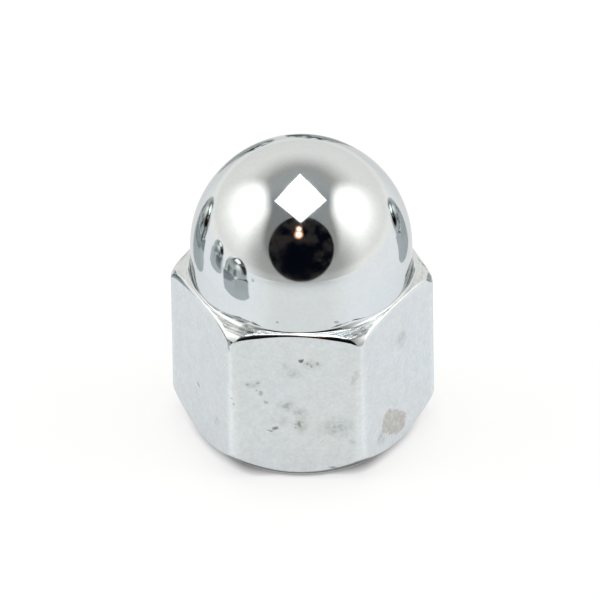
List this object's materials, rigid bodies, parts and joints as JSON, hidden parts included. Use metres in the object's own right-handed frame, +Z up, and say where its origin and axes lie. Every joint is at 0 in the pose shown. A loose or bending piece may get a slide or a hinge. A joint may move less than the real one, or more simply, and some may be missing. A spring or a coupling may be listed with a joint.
{
  "type": "cap nut",
  "caption": "Tall hexagon nut closed by a full-width dome, with chamfered ends and a blind threaded hole in its bearing face.",
  "frame": {"origin": "centre of the bearing face, on the thread's axis", "axes": "+Z up the thread's axis to the top of the dome, and two corners of the hexagon on the X axis, so that flats face +Y and -Y"},
  "size_m": [0.0148, 0.013, 0.018],
  "materials": {
    "plated_steel": "polished steel with bright chromium plate, lightly pitted and marked by handling"
  },
  "bodies": {
    "root": {"cap_nut": "plated_steel"}
  },
  "joints": []
}
